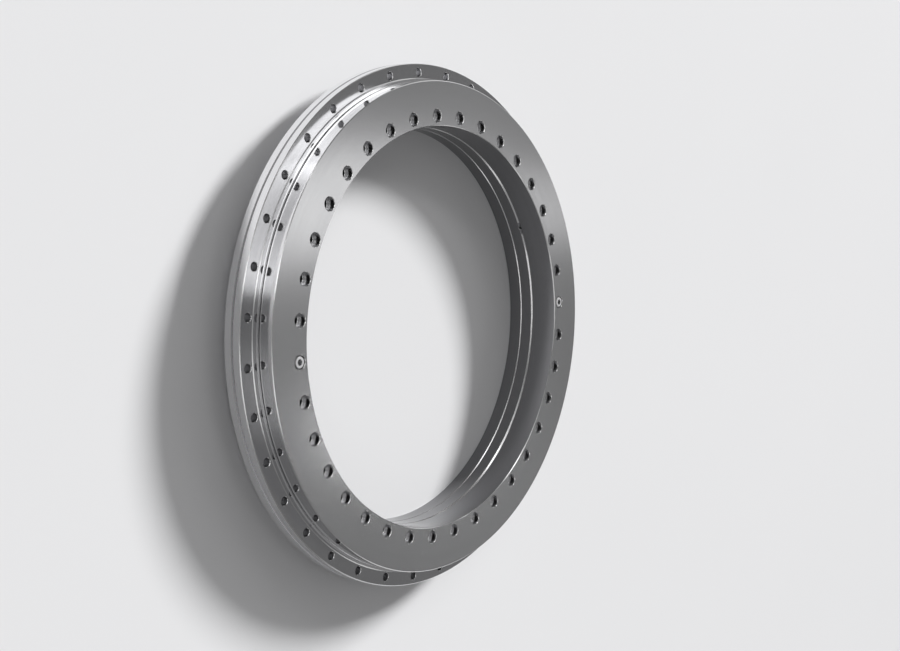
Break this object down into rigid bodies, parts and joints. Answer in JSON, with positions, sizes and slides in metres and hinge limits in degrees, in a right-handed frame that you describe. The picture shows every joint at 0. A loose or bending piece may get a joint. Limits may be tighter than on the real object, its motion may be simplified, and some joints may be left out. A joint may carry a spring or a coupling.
{
  "type": "rotary table bearing",
  "caption": "Axial-radial roller bearing for a rotary table: an outer ring turning between an L-section ring and a washer, with bolt circles in both.",
  "frame": {"origin": "on the bearing's axis, in its rear face (the shaft locating washer's)", "axes": "+Z along the axis, out of the front face with the counterbores; +X through a fixing hole of each circle; +Y through a retaining screw"},
  "size_m": [0.6, 0.6, 0.07],
  "materials": {
    "ground_steel": "ground and polished",
    "screw_steel": "satin",
    "roller_steel": "polished",
    "cage_polymer": "moulded"
  },
  "bodies": {
    "inner_rings": {"l_section_ring": "ground_steel", "shaft_locating_washer": "ground_steel", "retaining_screw_1": "screw_steel", "retaining_screw_2": "screw_steel"},
    "outer_ring": {"outer_ring": "ground_steel"},
    "front_axial_row": {"front_axial_rollers": "roller_steel", "front_cage_segment_1": "cage_polymer", "front_cage_segment_2": "cage_polymer", "front_cage_segment_3": "cage_polymer", "front_cage_segment_4": "cage_polymer", "front_cage_segment_5": "cage_polymer", "front_cage_segment_6": "cage_polymer"},
    "rear_axial_row": {"rear_axial_rollers": "roller_steel", "rear_cage_segment_1": "cage_polymer", "rear_cage_segment_2": "cage_polymer", "rear_cage_segment_3": "cage_polymer", "rear_cage_segment_4": "cage_polymer", "rear_cage_segment_5": "cage_polymer", "rear_cage_segment_6": "cage_polymer"},
    "radial_row": {"radial_rollers": "roller_steel", "radial_cage": "cage_polymer"}
  },
  "joints": [
    {"name": "outer_ring_spin", "type": "hinge", "parent": "inner_rings", "child": "outer_ring", "pos_m": [0, 0, 0.035], "axis": [0, 0, 1], "continuous": true},
    {"name": "front_axial_row_spin", "type": "hinge", "parent": "inner_rings", "child": "front_axial_row", "pos_m": [0, 0, 0.049], "axis": [0, 0, 1], "continuous": true},
    {"name": "rear_axial_row_spin", "type": "hinge", "parent": "inner_rings", "child": "rear_axial_row", "pos_m": [0, 0, 0.021], "axis": [0, 0, 1], "continuous": true},
    {"name": "radial_row_spin", "type": "hinge", "parent": "inner_rings", "child": "radial_row", "pos_m": [0, 0, 0.035], "axis": [0, 0, 1], "continuous": true}
  ],
  "couplings": [
    {"joint": "front_axial_row_spin", "follows": "outer_ring_spin", "ratio": 0.5},
    {"joint": "rear_axial_row_spin", "follows": "outer_ring_spin", "ratio": 0.5},
    {"joint": "radial_row_spin", "follows": "outer_ring_spin", "ratio": 0.50682}
  ]
}
